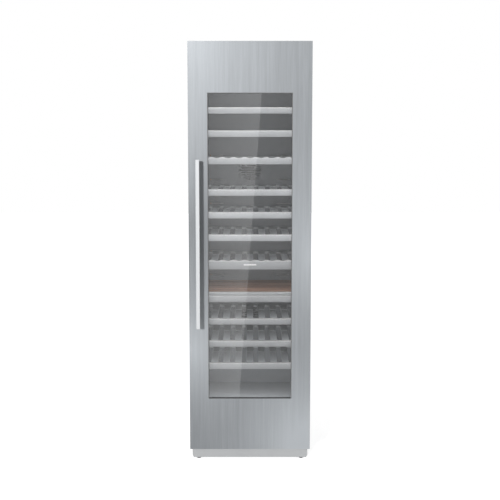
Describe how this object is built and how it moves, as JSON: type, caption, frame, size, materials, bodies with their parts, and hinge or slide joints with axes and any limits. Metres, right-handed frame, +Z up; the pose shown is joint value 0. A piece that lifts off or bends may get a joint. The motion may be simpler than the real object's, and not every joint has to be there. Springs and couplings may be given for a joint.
{
  "type": "wine cooler",
  "caption": "Tall built-in wine cooler with a steel-framed glass door, bar handle and pull-out bottle shelves over a machine compartment.",
  "frame": {"origin": "on the floor, in the middle of the overall width and of the overall depth with the handle", "axes": "+X to the right as seen from the front, +Y to the back, +Z up; the door faces -Y"},
  "size_m": [0.603, 0.672, 2.096],
  "materials": {
    "stainless": "satin",
    "sheet_steel": "satin",
    "plinth": "satin",
    "foam": "matte",
    "liner": "satin",
    "black_enamel": "gloss",
    "fins": "satin",
    "dark_plastic": "matte",
    "copper": "satin",
    "led_cover": "satin",
    "zinc": "satin",
    "black_rubber": "matte",
    "grey_rubber": "matte",
    "tray": "satin",
    "walnut": "satin",
    "glass": "polished"
  },
  "bodies": {
    "cabinet": {"outer_casing": "sheet_steel", "insulation_foam": "foam", "inner_liner": "liner", "base_chassis": "sheet_steel", "base_plinth": "plinth", "service_covers": "sheet_steel", "compressor": "black_enamel", "condenser": "fins", "fan_motors": "dark_plastic", "drain_tray": "dark_plastic", "refrigerant_lines": "copper", "rear_air_panel": "liner", "evaporators": "fins", "zone_divider": "liner", "divider_trim": "stainless", "led_strips": "led_cover", "control_panel": "dark_plastic", "control_box": "sheet_steel", "shelf_rails": "zinc", "hinge_brackets": "zinc", "anti_tip_bracket": "zinc", "mains_inlet": "dark_plastic", "cabinet_screws": "zinc"},
    "door": {"door_panel": "stainless", "door_core": "foam", "door_frame": "liner", "glass_panes": "glass", "glazing_seals": "black_rubber", "door_gasket": "grey_rubber", "door_handle": "stainless", "hinge_bushes": "led_cover"},
    "foot_left": {"front_foot_left": "black_rubber"},
    "foot_right": {"front_foot_right": "black_rubber"},
    "roller_left": {"rear_roller_left": "black_rubber"},
    "roller_right": {"rear_roller_right": "black_rubber"},
    "fan_upper": {"evaporator_fan_upper": "dark_plastic"},
    "fan_lower": {"evaporator_fan_lower": "dark_plastic"},
    "fan_condenser": {"condenser_fan": "dark_plastic"},
    "shelf_1": {"shelf_tray_1": "tray", "shelf_front_1": "stainless"},
    "shelf_2": {"shelf_tray_2": "tray", "shelf_front_2": "stainless"},
    "shelf_3": {"shelf_tray_3": "tray", "shelf_front_3": "stainless"},
    "shelf_4": {"shelf_tray_4": "tray", "shelf_front_4": "stainless"},
    "shelf_5": {"shelf_tray_5": "tray", "shelf_front_5": "stainless"},
    "shelf_6": {"shelf_tray_6": "tray", "shelf_front_6": "stainless"},
    "shelf_7": {"shelf_tray_7": "tray", "shelf_front_7": "stainless"},
    "shelf_9": {"shelf_tray_9": "tray", "shelf_front_9": "stainless"},
    "shelf_10": {"shelf_tray_10": "tray", "shelf_front_10": "stainless"},
    "shelf_11": {"shelf_tray_11": "tray", "shelf_front_11": "stainless"},
    "serving_shelf": {"serving_board": "walnut", "serving_board_trim": "stainless"}
  },
  "joints": [
    {"name": "door_hinge", "type": "hinge", "parent": "cabinet", "child": "door", "pos_m": [0.286, -0.232, 1.08], "axis": [0, 0, 1], "range_deg": [0, 115]},
    {"name": "shelf_1_slide", "type": "slide", "parent": "cabinet", "child": "shelf_1", "axis": [0, -1, 0], "range_m": [0, 0.22]},
    {"name": "shelf_2_slide", "type": "slide", "parent": "cabinet", "child": "shelf_2", "axis": [0, -1, 0], "range_m": [0, 0.22]},
    {"name": "shelf_3_slide", "type": "slide", "parent": "cabinet", "child": "shelf_3", "axis": [0, -1, 0], "range_m": [0, 0.22]},
    {"name": "shelf_4_slide", "type": "slide", "parent": "cabinet", "child": "shelf_4", "axis": [0, -1, 0], "range_m": [0, 0.22]},
    {"name": "shelf_5_slide", "type": "slide", "parent": "cabinet", "child": "shelf_5", "axis": [0, -1, 0], "range_m": [0, 0.22]},
    {"name": "shelf_6_slide", "type": "slide", "parent": "cabinet", "child": "shelf_6", "axis": [0, -1, 0], "range_m": [0, 0.22]},
    {"name": "shelf_7_slide", "type": "slide", "parent": "cabinet", "child": "shelf_7", "axis": [0, -1, 0], "range_m": [0, 0.22]},
    {"name": "shelf_9_slide", "type": "slide", "parent": "cabinet", "child": "shelf_9", "axis": [0, -1, 0], "range_m": [0, 0.22]},
    {"name": "shelf_10_slide", "type": "slide", "parent": "cabinet", "child": "shelf_10", "axis": [0, -1, 0], "range_m": [0, 0.22]},
    {"name": "shelf_11_slide", "type": "slide", "parent": "cabinet", "child": "shelf_11", "axis": [0, -1, 0], "range_m": [0, 0.22]},
    {"name": "serving_shelf_slide", "type": "slide", "parent": "cabinet", "child": "serving_shelf", "axis": [0, -1, 0], "range_m": [0, 0.22]},
    {"name": "foot_left_screw", "type": "slide", "parent": "cabinet", "child": "foot_left", "axis": [0, 0, -1], "range_m": [0, 0.038]},
    {"name": "foot_right_screw", "type": "slide", "parent": "cabinet", "child": "foot_right", "axis": [0, 0, -1], "range_m": [0, 0.038]},
    {"name": "roller_left_axle", "type": "hinge", "parent": "cabinet", "child": "roller_left", "pos_m": [-0.261, 0.285, 0.02], "axis": [1, 0, 0], "continuous": true},
    {"name": "roller_right_axle", "type": "hinge", "parent": "cabinet", "child": "roller_right", "pos_m": [0.261, 0.285, 0.02], "axis": [1, 0, 0], "continuous": true},
    {"name": "fan_upper_spin", "type": "hinge", "parent": "cabinet", "child": "fan_upper", "pos_m": [0, 0.262, 1.453], "axis": [0, 1, 0], "continuous": true},
    {"name": "fan_lower_spin", "type": "hinge", "parent": "cabinet", "child": "fan_lower", "pos_m": [0, 0.262, 0.66], "axis": [0, 1, 0], "continuous": true},
    {"name": "fan_condenser_spin", "type": "hinge", "parent": "cabinet", "child": "fan_condenser", "pos_m": [0.14, -0.017, 0.15], "axis": [0, 1, 0], "continuous": true}
  ],
  "couplings": [
    {"joint": "shelf_1_slide", "follows": "door_hinge", "m_per_rad": 0.1096},
    {"joint": "shelf_2_slide", "follows": "door_hinge", "m_per_rad": 0.1096},
    {"joint": "shelf_3_slide", "follows": "door_hinge", "m_per_rad": 0.1096},
    {"joint": "shelf_4_slide", "follows": "door_hinge", "m_per_rad": 0.1096},
    {"joint": "shelf_5_slide", "follows": "door_hinge", "m_per_rad": 0.1096},
    {"joint": "shelf_6_slide", "follows": "door_hinge", "m_per_rad": 0.1096},
    {"joint": "shelf_7_slide", "follows": "door_hinge", "m_per_rad": 0.1096},
    {"joint": "shelf_9_slide", "follows": "door_hinge", "m_per_rad": 0.1096},
    {"joint": "shelf_10_slide", "follows": "door_hinge", "m_per_rad": 0.1096},
    {"joint": "shelf_11_slide", "follows": "door_hinge", "m_per_rad": 0.1096},
    {"joint": "serving_shelf_slide", "follows": "door_hinge", "m_per_rad": 0.1096}
  ]
}
